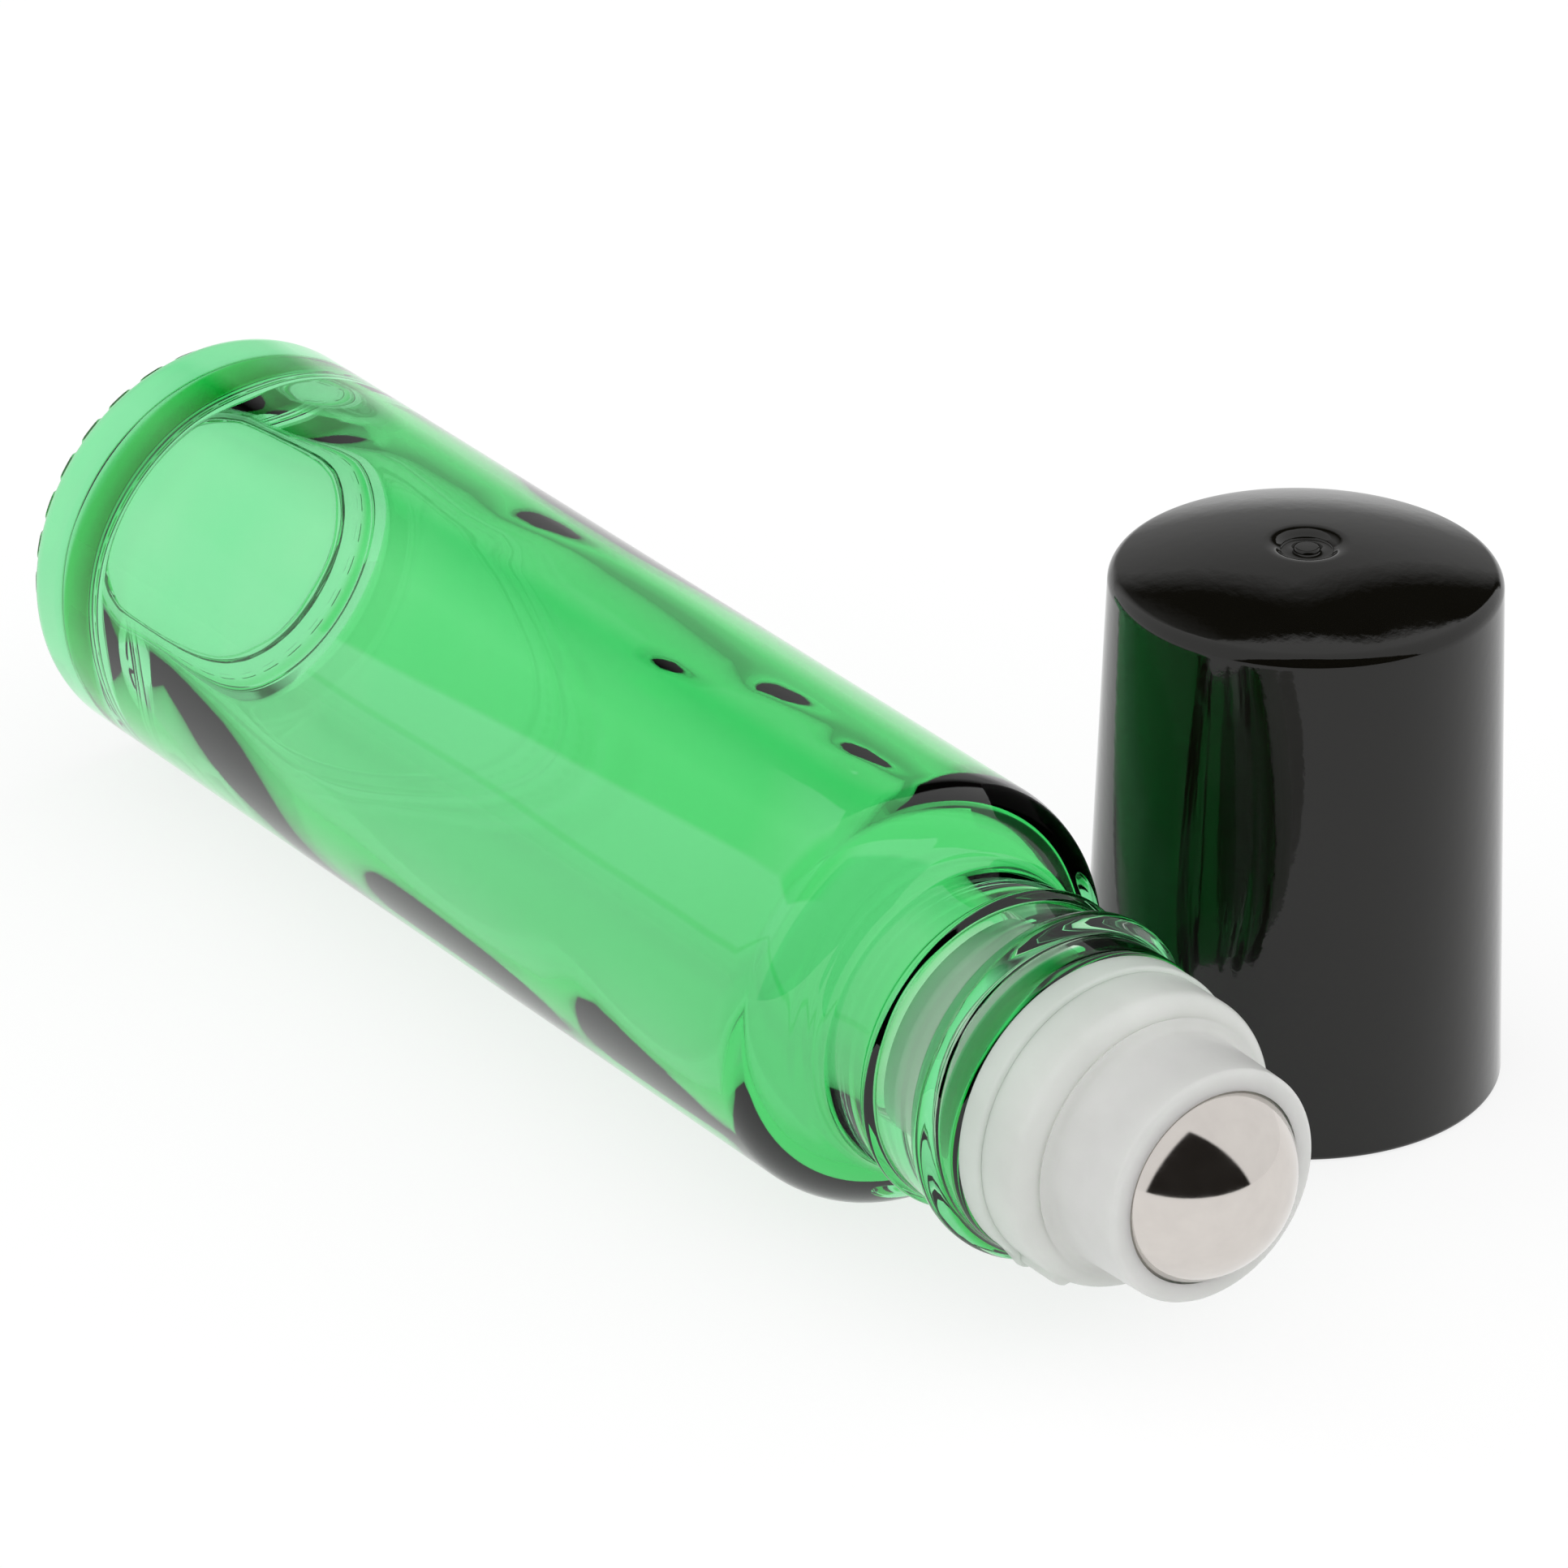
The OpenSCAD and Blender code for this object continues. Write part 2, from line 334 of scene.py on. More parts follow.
def shoulder(wide, narrow, radius, fillet, top):
    """The rounded shoulder from a wide cylinder to a narrow one that starts at height top."""
    turn = SHOULDER_TURN
    r = min(radius, (wide - narrow) / (1 - math.cos(turn)) - fillet)
    low_r = wide - r * (1 - math.cos(turn))
    high_r = narrow + fillet * (1 - math.cos(turn))
    high_z = top - fillet * math.sin(turn)
    low_z = high_z - (low_r - high_r) / math.tan(turn)
    degrees = math.degrees(turn)
    return (
        arc((wide - r, low_z - r * math.sin(turn)), r, 0, degrees)
        + arc((narrow + fillet, top), fillet, 180 + degrees, 180)
    )


def smooth_step(value, low, high):
    """0 up to low and 1 from high on, with a soft rise between them."""
    t = min(1.0, max(0.0, (value - low) / (high - low)))
    return t * t * (3 - 2 * t)


def turn_between(first, second):
    """How far apart two angles lie, all in degrees."""
    return abs((first - second + 180) % 360 - 180)


def noise_round(circle, angle, level):
    """Smooth noise between -1 and 1 on a circle of this size round the axis, at this level."""
    return noise.noise(Vector((circle * math.cos(angle), circle * math.sin(angle), level)))


def ridge(offset, width):
    """Height from 0 to 1 across a ridge with a flat crest and rounded, sloping flanks."""
    return 1 - smooth_step(abs(offset), CREST_SHARE * width, FOOT_SHARE * width)


def thread_height(angle, height, middle, middle_angle, turns, width):
    """Height from 0 to 1 of a right-handed thread at this angle and height."""
    best = 0.0
    half = turns * math.pi
    for lap in range(-THREAD_LAPS, THREAD_LAPS + 1):
        t = angle - middle_angle + 2 * math.pi * lap
        if abs(t) > half:
            continue
        fade = smooth_step(half - abs(t), 0, math.radians(THREAD_END))
        best = max(best, fade * ridge(height - middle - THREAD_PITCH * t / (2 * math.pi), width))
    return best


def turned(name, profile, place, segments, relief=None, paint=None, closed=False):
    """A mesh turned from a profile of (radius, height).

    The profile starts and ends on the axis, or is closed and stays clear of it.
    relief(radius, height, angle) gives the radius and height of a point with its fine form, and
    paint(place in the profile, radius, height, angle) gives its share of tint.
    """
    bm = bmesh.new()
    tint = bm.verts.layers.float.new("tint") if paint else None
    rings = []
    for k, (radius, height) in enumerate(profile):
        ring = []
        for i in range(1 if radius < ON_AXIS else segments):
            angle = 2 * math.pi * i / segments
            r, z = relief(radius, height, angle) if relief else (radius, height)
            ring.append(bm.verts.new((r * math.cos(angle), r * math.sin(angle), z)))
            if paint:
                ring[-1][tint] = paint(k, radius, height, angle)
        rings.append(ring)
    following = rings[1:] + rings[:1] if closed else rings[1:]
    for low, high in zip(rings, following):
        for i in range(segments):
            j = (i + 1) % segments
            if len(low) == 1:
                bm.faces.new((low[0], high[j], high[i]))
            elif len(high) == 1:
                bm.faces.new((low[i], low[j], high[0]))
            else:
                bm.faces.new((low[i], low[j], high[j], high[i]))
    bmesh.ops.recalc_face_normals(bm, faces=bm.faces[:])
    bm.transform(place)
    mesh = bpy.data.meshes.new(name)
    bm.to_mesh(mesh)
    bm.free()
    mesh.shade_smooth()
    mesh.set_sharp_from_angle(angle=SHARP_FROM)
    piece = bpy.data.objects.new(name, mesh)
    bpy.context.scene.collection.objects.link(piece)
    return piece


# The glass bottle

BEAD_Z = GLASS_H - BEAD_DROP
NECK_Z = GLASS_H - NECK_H
THREAD_Z = GLASS_H - THREAD_MIDDLE_DROP
LIP_COAT_Z = GLASS_H - LIP_COAT_DROP
INNER_FLOOR_Z = PUSH_UP + FLOOR_T
INNER_R = BARREL_R - WALL_T
FOOT_R = BARREL_R - HEEL_R
LOW_BARREL_Z = HEEL_R + LOW_BARREL_H


def glass_outside():
    """From the middle of the push-up, round the heel and up to the lip."""
    edge_r = FOOT_R - FOOT_W
    turn = PUSH_UP_SLOPE
    bends = PUSH_UP_TOP_R + PUSH_UP_FOOT_R
    flank_w = (PUSH_UP - bends * (1 - math.cos(turn))) / math.tan(turn)
    top_r = edge_r - bends * math.sin(turn) - flank_w
    degrees = math.degrees(turn)
    body = (
        dense([(0, PUSH_UP), (top_r, PUSH_UP)], BASE_CUT)
        + arc((top_r, PUSH_UP - PUSH_UP_TOP_R), PUSH_UP_TOP_R, 90, 90 - degrees)[1:]
        + arc((edge_r, PUSH_UP_FOOT_R), PUSH_UP_FOOT_R, 270 - degrees, 270, steps=8)
        + [(FOOT_R, 0)]
        + arc((FOOT_R, HEEL_R), HEEL_R, -90, 0, steps=32)[1:]
        + dense([(BARREL_R, HEEL_R), (BARREL_R, LOW_BARREL_Z)], LOW_BARREL_CUT)[1:]
        + dense([(BARREL_R, LOW_BARREL_Z), (BARREL_R, NECK_Z - SHOULDER_H)], BARREL_CUT)[1:]
        + shoulder(BARREL_R, NECK_R, SHOULDER_R, NECK_FILLET, NECK_Z)
    )
    neck = dense([(NECK_R, NECK_Z), (NECK_R, GLASS_H - LIP_R)], NECK_CUT)[1:]
    return body + neck + arc((NECK_R - LIP_R, GLASS_H - LIP_R), LIP_R, 0, 90)[1:]


def glass_inside():
    """From the lip down to the middle of the inner floor."""
    bore_foot = shoulder(INNER_R, BORE_R, INNER_SHOULDER_R, BORE_FILLET, NECK_Z - BORE_DROP)
    outline = (
        [(0, INNER_FLOOR_Z)]
        + arc((INNER_R - FLOOR_R, INNER_FLOOR_Z + FLOOR_R), FLOOR_R, -90, 0)
        + dense(bore_foot, INNER_SHOULDER_CUT)
        + arc((BORE_R + MOUTH_R, GLASS_H - MOUTH_R), MOUTH_R, 180, 90)
    )
    return dense(outline, INNER_CUT)[::-1]


def neck_thread(angle, height):
    """Height from 0 to 1 of the thread on the neck."""
    middle_angle = math.radians(THREAD_MIDDLE_ANGLE)
    return thread_height(angle, height, THREAD_Z, middle_angle, THREAD_TURNS, THREAD_W)


def inner_thickness(radius, height, angle):
    """How much the inner wall stands in at a point: slow waves, and thicker or thinner places."""
    share = smooth_step(height, INNER_FLOOR_Z + WAVE_START, INNER_FLOOR_Z + WAVE_FULL)
    share *= smooth_step(NECK_Z - WAVE_DROP - height, 0, WAVE_FADE)
    made = WAVE_DEPTH * share * noise_round(WAVE_CIRCLE, angle, height / WAVE_LENGTH)
    for middle, level, half_turn, half_height, depth in THICK_PLACES:
        across = turn_between(math.degrees(angle), middle) / half_turn
        along = abs(height - level) / half_height
        made += depth * smooth_step(1 - across, 0, 1) * smooth_step(1 - along, 0, 1)
    return made * smooth_step(radius, INNER_R - FLOOR_R, INNER_R - FLOOR_R * BEND_LEFT_SHARE)


def ripple(radius, angle):
    """The fine, uneven rings of the inner shoulder, which fade out at its two edges."""
    share = smooth_step(radius - BORE_R, 0, RIPPLE_FADE)
    share *= smooth_step(INNER_R - radius, 0, RIPPLE_FADE)
    phase = 2 * math.pi * radius / RIPPLE_SPACING
    phase += RIPPLE_SWAY * math.sin(angle)
    phase += RIPPLE_DOUBLE_SWAY * math.cos(2 * angle)
    return RIPPLE_DEPTH * share * math.sin(phase)


def push_up_wobble(radius, height, angle):
    """How far the edge of the push-up strays from a circle."""
    share = smooth_step(radius, FOOT_R - WOBBLE_START, FOOT_R - WOBBLE_FULL)
    share *= smooth_step(height, 0, WOBBLE_RISE)
    return WOBBLE_DEPTH * share * noise_round(WOBBLE_CIRCLE, angle, 0)


def heel_turn(radius, height):
    """How far round the arc of the heel a point lies, from the foot up."""
    return math.atan2(radius - FOOT_R, HEEL_R - height)


def knurl(around, angle):
    """1 on the small pads round the heel, at around degrees of its arc, and 0 between them."""
    across = smooth_step(around, KNURL_FROM, KNURL_FROM + KNURL_EDGE)
    across *= smooth_step(KNURL_TO - around, 0, KNURL_EDGE)
    return across * smooth_step(0.5 + 0.5 * math.cos(KNURLS * angle), *KNURL_GAP_SHARES)


def knurl_cut(around, angle):
    """How deep the heel is cut away between the pads and beside them."""
    bed = smooth_step(around, KNURL_FROM - KNURL_BED_EDGE, KNURL_FROM)
    bed *= smooth_step(KNURL_TO + KNURL_BED_EDGE - around, 0, KNURL_BED_EDGE)
    return KNURL_DEPTH * bed * (1 - knurl(around, angle))


def glass_relief(radius, height, angle):
    """Neck bead and thread, inner wall, rings of the inner shoulder, push-up and knurled heel."""
    on_neck = NECK_Z < height < GLASS_H - LIP_R + TOUCH
    if on_neck and radius >= NECK_R - TOUCH:
        bead = BEAD_RISE * ridge(height - BEAD_Z, BEAD_W)
        return radius + max((CREST_R - NECK_R) * neck_thread(angle, height), bead), height
    in_barrel = INNER_FLOOR_Z < height < NECK_Z - WAVE_DROP
    if in_barrel and INNER_R - FLOOR_R < radius < INNER_R + TOUCH:
        return radius - inner_thickness(radius, height, angle), height

    # The reach is the radius at which the slope through this point comes up to the neck
    reach = radius + (height - NECK_Z) / math.tan(SHOULDER_TURN)
    if reach < INNER_SHOULDER_REACH and NECK_Z - SHOULDER_H < height < NECK_Z:
        return radius, height + ripple(radius, angle)
    if height < PUSH_UP + TOUCH and radius < FOOT_R - FOOT_W:
        return radius + push_up_wobble(radius, height, angle), height
    if height < HEEL_R and radius > FOOT_R:
        turn = heel_turn(radius, height)
        cut = knurl_cut(math.degrees(turn), angle)
        return radius - cut * math.sin(turn), height + cut * math.cos(turn)
    return radius, height


def barrel_coat(height, degrees):
    """The coat of the barrel, with its painted light and its painted shade line, and of the
    shoulder.
    """
    # Painted light: less coat over part of the barrel
    painted_light = smooth_step(degrees, PAINTED_LIGHT_START, PAINTED_LIGHT_START + PAINTED_LIGHT_START_FADE)
    edge = PAINTED_LIGHT_END + PAINTED_LIGHT_END_LEAN * height
    before_edge = smooth_step(edge - degrees, -PAINTED_LIGHT_END_FADE, PAINTED_LIGHT_END_FADE)
    painted_light *= max(before_edge, smooth_step(height, *PAINTED_LIGHT_BEYOND))
    # Painted shade: a narrow line of more coat
    shade_line = smooth_step(SHADE_LINE_W - abs(degrees - SHADE_LINE_ANGLE), 0, SHADE_LINE_W)
    shade_line *= smooth_step(height, *SHADE_LINE_FOOT)
    shade_line *= smooth_step(NECK_Z - SHADE_LINE_DROP - height, 0, SHADE_LINE_FADE)
    made = 1 - (1 - PAINTED_LIGHT_COAT) * painted_light + SHADE_LINE_COAT * shade_line
    made += UPPER_COAT * smooth_step(height, *UPPER_RANGE)
    return made + (SHOULDER_COAT - made) * smooth_step(height, *SHOULDER_RANGE)


def glass_coat(radius, height, angle):
    """The coat at a point of the outside of the glass."""
    if height < PUSH_UP + TOUCH and radius < FOOT_R + TOUCH:
        return BASE_COAT
    degrees = math.degrees(angle)
    share = smooth_step(height, COAT_START, COAT_START + COAT_FADE)
    made = BASE_COAT + (1 - BASE_COAT) * share * barrel_coat(height, degrees)
    # Painted shade: a deep band above the heel and deep pads on the knurls, on one side of the
    # bottle
    side = smooth_step(BAND_HALF - abs(degrees - BAND_MIDDLE), 0, BAND_SIDE_FADE)
    band = smooth_step(height, BAND_LOW, BAND_HIGH)
    band *= smooth_step(BAND_HIGH - height, 0, BAND_FADE)
    made += PAINTED_SHADE_BAND_COAT * band * side
    if height < HEEL_R:
        made += PAINTED_SHADE_KNURL_COAT * side * knurl(math.degrees(heel_turn(radius, height)), angle)
    neck = smooth_step(height, NECK_COAT_FROM, NECK_COAT_FROM + NECK_COAT_FADE)
    made *= 1 - (1 - NECK_COAT) * neck
    if height > NECK_Z:
        crest = neck_thread(angle, height)
        made += THREAD_COAT * crest
        # Painted highlight: the sides of the thread lose most of their coat and look whiter
        highlight_flank = 4 * crest * (1 - crest)
        made *= 1 - FLANK_PAINTED_HIGHLIGHT * highlight_flank
        made += LIP_COAT * smooth_step(height, LIP_COAT_Z, LIP_COAT_Z + LIP_COAT_FADE)
    return made


def make_bottle():
    """The hollow glass, coated on its outside."""
    outside = glass_outside()

    def paint(k, radius, height, angle):
        """The outside is coated, and the inside is bare."""
        return glass_coat(radius, height, angle) if k < len(outside) else 0.0

    profile = outside + glass_inside()
    bottle = turned("glass_bottle", profile, AXIS_PLACE, GLASS_SEGMENTS, glass_relief, paint)
    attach(bottle, "bottle")
    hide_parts("bottle")
    bottle.data.materials.append(glass_material())


# The roller housing

SOCKET_R = BALL_R + SOCKET_GAP
NOSE_R = SOCKET_R + NOSE_WALL
NOSE_TOP_R = NOSE_R - NOSE_TAPER - NOSE_EDGE_R
NOSE_Z = BALL_Z + NOSE_OVER
FLANGE_R = NECK_R - FLANGE_INSET
FLANGE_Z = GLASS_H + FLANGE_T
COLLAR_Z = FLANGE_Z + COLLAR_H
PLUG_R = BORE_R - PLUG_CLEARANCE - PLUG_BEAD_H
PLUG_TIP_Z = GLASS_H - PLUG_H


def plug_outside():
    """The plug's outside with its sealing beads, from its tip up to the flange."""
    points = [(PLUG_R - PLUG_LEAD, PLUG_TIP_Z), (PLUG_R, PLUG_TIP_Z + PLUG_LEAD)]
    centre_r = PLUG_R + PLUG_BEAD_H - PLUG_BEAD_R
    opening = math.degrees(math.acos((PLUG_R - centre_r) / PLUG_BEAD_R))
    for i in range(PLUG_BEADS):
        middle = (centre_r, PLUG_TIP_Z + PLUG_BEAD_LIFT + i * PLUG_BEAD_SPACING)
        points += arc(middle, PLUG_BEAD_R, -opening, opening, steps=8)
    return points + [(PLUG_R, GLASS_H)]


def housing_profile():
    """From the lip of the socket down through the throat, and up the plug, flange and nose."""
    plug_inner_r = PLUG_R - PLUG_WALL
    under = SOCKET_R + SEAT_T
    seat = math.degrees(math.asin(plug_inner_r / under))
    throat_under = math.degrees(math.asin(THROAT_R / under))
    throat_top = math.degrees(math.asin(THROAT_R / SOCKET_R))
    lip = math.degrees(math.asin(NOSE_OVER / SOCKET_R))
    flange_edge = (FLANGE_R - FLANGE_EDGE_R, FLANGE_Z - FLANGE_EDGE_R)
    collar_edge = (COLLAR_R - COLLAR_EDGE_R, COLLAR_Z - COLLAR_FALL - COLLAR_EDGE_R)
    nose_foot = (NOSE_R + NOSE_FILLET, COLLAR_Z + NOSE_FILLET)
    return (
        arc((0, BALL_Z), SOCKET_R, lip, throat_top - 90, steps=24)
        + arc((0, BALL_Z), under, throat_under - 90, seat - 90, steps=8)
        + [(plug_inner_r, PLUG_TIP_Z)]
        + plug_outside()
        + [(FLANGE_R, GLASS_H)]
        + arc(flange_edge, FLANGE_EDGE_R, 0, 90, steps=6)
        + [(COLLAR_R, FLANGE_Z)]
        + arc(collar_edge, COLLAR_EDGE_R, 0, 90)
        + arc(nose_foot, NOSE_FILLET, -90, -180, steps=8)
        + arc((NOSE_TOP_R, NOSE_Z - NOSE_EDGE_R), NOSE_EDGE_R, 0, 90, steps=8)
    )


def housing_relief(radius, height, angle):
    """A nub of moulding flash on the edge of the flange."""
    if radius > FLANGE_R - FLASH_DEPTH and height > GLASS_H:
        away = turn_between(math.degrees(angle), FLASH_ANGLE) / FLASH_HALF
        return radius + FLASH_RISE * smooth_step(1 - away, 0, FLASH_SIDE_SHARE), height
    return radius, height


def make_housing():
    """The one moulding of the housing, pressed into the neck."""
    housing = turned(
        "roller_housing_moulding", housing_profile(), AXIS_PLACE, HOUSING_SEGMENTS,
        housing_relief, closed=True,
    )
    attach(housing, "bottle")
    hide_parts("roller_housing")
    housing.data.materials.append(housing_material())


# The ball

def make_ball():
    """The ball in its socket."""
    profile = arc((0, BALL_Z), BALL_R, -90, 90, steps=96)
    profile[0] = (0, BALL_Z - BALL_R)
    profile[-1] = (0, BALL_Z + BALL_R)
    ball = turned("steel_ball", profile, AXIS_PLACE, BALL_SEGMENTS)
    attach(ball, "ball")
    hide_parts("roller_ball")
    ball.data.materials.append(steel_material())


# The cap

def cap_outside():
    """From the rim up the wall, over the crown and down into the gate mark."""
    crown_r = (CAP_TOP_R**2 + CROWN_RISE**2) / (2 * CROWN_RISE)
    centre_z = CAP_H - crown_r
    reach = CAP_TOP_R - CROWN_EDGE_R
    edge_z = centre_z + math.sqrt((crown_r - CROWN_EDGE_R) ** 2 - reach**2)
    turn = math.degrees(math.atan2(edge_z - centre_z, reach))
    gate_top = math.degrees(math.acos(GATE_R / crown_r))
    share = 1 - GATE_EDGE_R / crown_r
    gate_edge = (GATE_R * share, centre_z + math.sqrt(crown_r**2 - GATE_R**2) * share)
    hole_r = gate_edge[0] - GATE_EDGE_R * math.sin(math.radians(GATE_FALL))
    floor_z = CAP_H - GATE_DEPTH
    floor_edge = (hole_r - GATE_FLOOR_INSET, floor_z + GATE_FLOOR_R)
    nub_edge = (GATE_NUB_R - GATE_NUB_EDGE_INSET, floor_z + GATE_NUB_EDGE_LIFT)
    return (
        arc((CAP_R - RIM_EDGE_R, RIM_EDGE_R), RIM_EDGE_R, -90, 0, steps=8)
        + arc((reach, edge_z), CROWN_EDGE_R, 0, turn)
        + arc((0, centre_z), crown_r, turn, gate_top, steps=16)[1:]
        + arc(gate_edge, GATE_EDGE_R, gate_top, 90 + GATE_FALL, steps=10)[1:]
        + arc(floor_edge, GATE_FLOOR_R, 0, -90, steps=4)
        + [(GATE_NUB_R + GATE_NUB_SPREAD, floor_z)]
        + arc(nub_edge, GATE_NUB_EDGE_R, 0, 90, steps=5)
        + [(0, floor_z + GATE_NUB_LIFT)]
    )


def cap_inside():
    """From the middle of the inner top, round the sealing ring and down the wall to the rim."""
    rim_home_z = NECK_Z - NECK_FILLET
    bore_top = FLANGE_Z - rim_home_z
    inner_h = CAP_H - CROWN_T
    ring_z = NOSE_Z - rim_home_z + SEAL_CLEARANCE
    ring_inner_r = NOSE_TOP_R - SEAL_RING_T
    return (
        [(0, inner_h), (ring_inner_r, inner_h), (ring_inner_r, ring_z)]
        + [(NOSE_TOP_R, ring_z), (NOSE_TOP_R, inner_h)]
        + arc((CAP_UPPER_R - CAP_INNER_R, inner_h - CAP_INNER_R), CAP_INNER_R, 90, 0, steps=8)
        + [(CAP_UPPER_R, bore_top + CAP_STEP_H)]
        + dense([(CAP_BORE_R, bore_top), (CAP_BORE_R, RIM_EDGE_R)], CAP_BORE_CUT)
        + [(CAP_BORE_R + RIM_EDGE_R, 0)]
    )


def cap_relief(radius, height, angle):
    """The thread inside the bore, which takes the thread of the neck."""
    if abs(radius - CAP_BORE_R) > TOUCH:
        return radius, height
    thread = thread_height(
        angle, height, CAP_THREAD_Z, CAP_THREAD_ANGLE, CAP_THREAD_TURNS, CAP_THREAD_W
    )
    return radius - CAP_THREAD_RISE * thread, height


def make_cap():
    """The cap, which stands on its open rim."""
    profile = cap_inside() + cap_outside()
    cap = turned("cap_shell", profile, CAP_PLACE, CAP_SEGMENTS, cap_relief)
    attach(cap, "cap")
    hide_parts("cap")
    cap.data.materials.append(cap_material())


# Helpers for materials

def new_material(name):
    """A material with the usual shader, and what is needed to add to it."""
    material = bpy.data.materials.new(name)
    material.use_nodes = True
    nodes, links = material.node_tree.nodes, material.node_tree.links
    return material, nodes, links, nodes["Principled BSDF"]


def add_noise(nodes, links, scale, detail):
    """A cloudy value from 0 to 1, fixed to the object."""
    where = nodes.new("ShaderNodeTexCoord")
    made = nodes.new("ShaderNodeTexNoise")
    made.inputs["Scale"].default_value = scale
    made.inputs["Detail"].default_value = detail
    links.new(where.outputs["Object"], made.inputs["Vector"])
    return made.outputs["Fac"]


def add_math(nodes, links, operation, first, second):
    """One operation on two values, each of them a number or the output of a node."""
    made = nodes.new("ShaderNodeMath")
    made.operation = operation
    for slot, value in enumerate((first, second)):
        if isinstance(value, (int, float)):
            made.inputs[slot].default_value = value
        else:
            links.new(value, made.inputs[slot])
    return made.outputs[0]


def add_range(nodes, links, source, low, high, from_low=0.0, from_high=1.0):
    """Maps a value so that it runs from low to high."""
    made = nodes.new("ShaderNodeMapRange")
    made.inputs["From Min"].default_value = from_low
    made.inputs["From Max"].default_value = from_high
    made.inputs["To Min"].default_value = low
    made.inputs["To Max"].default_value = high
    links.new(source, made.inputs["Value"])
    return made.outputs["Result"]


def add_ramp(nodes, links, share, low, high, low_share=0.0, high_share=1.0):
    """A ramp of colour from low to high."""
    made = nodes.new("ShaderNodeValToRGB")
    first, last = made.color_ramp.elements
    first.position = low_share
    first.color = low
    last.position = high_share
    last.color = high
    links.new(share, made.inputs["Fac"])
    return made


def add_mix(nodes, links, share, first, second, blend="MIX"):
    """A colour, or the output of a node, mixed by a share with a second colour."""
    made = nodes.new("ShaderNodeMix")
    made.data_type = "RGBA"
    made.blend_type = blend
    links.new(share, made.inputs["Factor"])
    if isinstance(first, tuple):
        made.inputs["A"].default_value = first
    else:
        links.new(first, made.inputs["A"])
    made.inputs["B"].default_value = second
    return made.outputs["Result"]


def add_bump(nodes, links, shader, source, strength, distance):
    """Bumps on the surface of a shader, with their greatest height in metres."""
    made = nodes.new("ShaderNodeBump")
    made.inputs["Strength"].default_value = strength
    made.inputs["Distance"].default_value = distance
    links.new(source, made.inputs["Height"])
    links.new(made.outputs["Normal"], shader.inputs["Normal"])


# Materials. A colour is red, green, blue and 1, a noise is its scale for a metre and its detail,
# a bump is its strength and its height in metres, and a pair is what a noise runs between.

WHITE = (1, 1, 1, 1)

# A tint of 0 is clear, 1 is green, 2 is deep, and DEEPEST_TINT is deepest
# Tints past 3 come only from the painted shade above the heel and on the knurl pads
GLASS_GREEN = (0.055, 0.70, 0.155, 1)
GLASS_DEEP = (0.004, 0.42, 0.03, 1)
GLASS_DEEPEST = (0.0001, 0.13, 0.003, 1)
DEEPEST_TINT = 6
GLASS_IOR = 1.51
GLASS_CLOUD = (120, 3)
GLASS_CLOUD_SHARES = (0.94, 1.04)
GLASS_FINE = (2500, 3)
GLASS_ROUGHNESS = (0.0, 0.02)

HOUSING_LOW = (0.75, 0.76, 0.73, 1)
HOUSING_HIGH = (0.84, 0.85, 0.82, 1)
HOUSING_RAMP_SHARES = (0.3, 0.75)
HOUSING_IOR = 1.5
HOUSING_CLOUD = (260, 4)
HOUSING_GRAIN = (6000, 4)
HOUSING_ROUGHNESS = (0.26, 0.42)
HOUSING_BUMP = (0.12, 0.00005)

# Light that spreads inside the plastic: how much, in which colours, and how far in metres
HOUSING_MILK = 0.6
HOUSING_MILK_COLOR = (1.0, 1.1, 1.0)
HOUSING_MILK_REACH = 0.0012

# Painted light: the housing is tinted with the green light that comes through the glass, which
# fades over this reach up to its nose
HOUSING_PAINTED_GREEN_LIGHT = (0.90, 0.99, 0.93, 1)
GREEN_LIGHT_REACH = 4

# The plug is painted lighter than the rest, for light that reaches it through the glass, and lets a
# little more light through; both come in over this reach below the lip of the glass
PLUG_PAINTED_LIGHT = (0.96, 0.98, 0.97, 1)
PLUG_REACH = 0.5
HOUSING_CLEAR = 0.10
PLUG_CLEAR = 0.12

STEEL_LOW = (0.60, 0.56, 0.53, 1)
STEEL_HIGH = (0.70, 0.66, 0.62, 1)
STEEL_HAZE = (900, 5)
STEEL_ROUGHNESS = (0.03, 0.14)
STEEL_BUMP = (0.05, 0.00003)

CAP_LOW = (0.0032, 0.0029, 0.0018, 1)
CAP_HIGH = (0.0048, 0.0044, 0.0030, 1)
CAP_IOR = 1.45
CAP_CLOUD = (300, 4)
CAP_GRAIN = (1500, 3)
CAP_ROUGHNESS = (0.02, 0.09)
CAP_BUMP = (0.06, 0.0001)


def glass_material():
    """Clear glass with a green coat outside, as deep as the tint of a point says; the tint also
    holds painted light and shade on the barrel and heel, and painted highlights on the thread.
    """
    material, nodes, links, shader = new_material("green_glass")
    shader.inputs["Transmission Weight"].default_value = 1.0
    shader.inputs["IOR"].default_value = GLASS_IOR
    tint = nodes.new("ShaderNodeAttribute")
    tint.attribute_name = "tint"
    cloud = add_noise(nodes, links, *GLASS_CLOUD)
    share = add_range(nodes, links, cloud, *GLASS_CLOUD_SHARES)
    amount = add_math(nodes, links, "MULTIPLY", tint.outputs["Fac"], share)
    amount = add_math(nodes, links, "MULTIPLY", amount, 1 / DEEPEST_TINT)
    coat = add_ramp(nodes, links, amount, WHITE, GLASS_DEEPEST)
    coat.color_ramp.elements.new(1 / DEEPEST_TINT).color = GLASS_GREEN
    coat.color_ramp.elements.new(2 / DEEPEST_TINT).color = GLASS_DEEP
    links.new(coat.outputs["Color"], shader.inputs["Base Color"])
    fine = add_noise(nodes, links, *GLASS_FINE)
    links.new(add_range(nodes, links, fine, *GLASS_ROUGHNESS), shader.inputs["Roughness"])
    return material


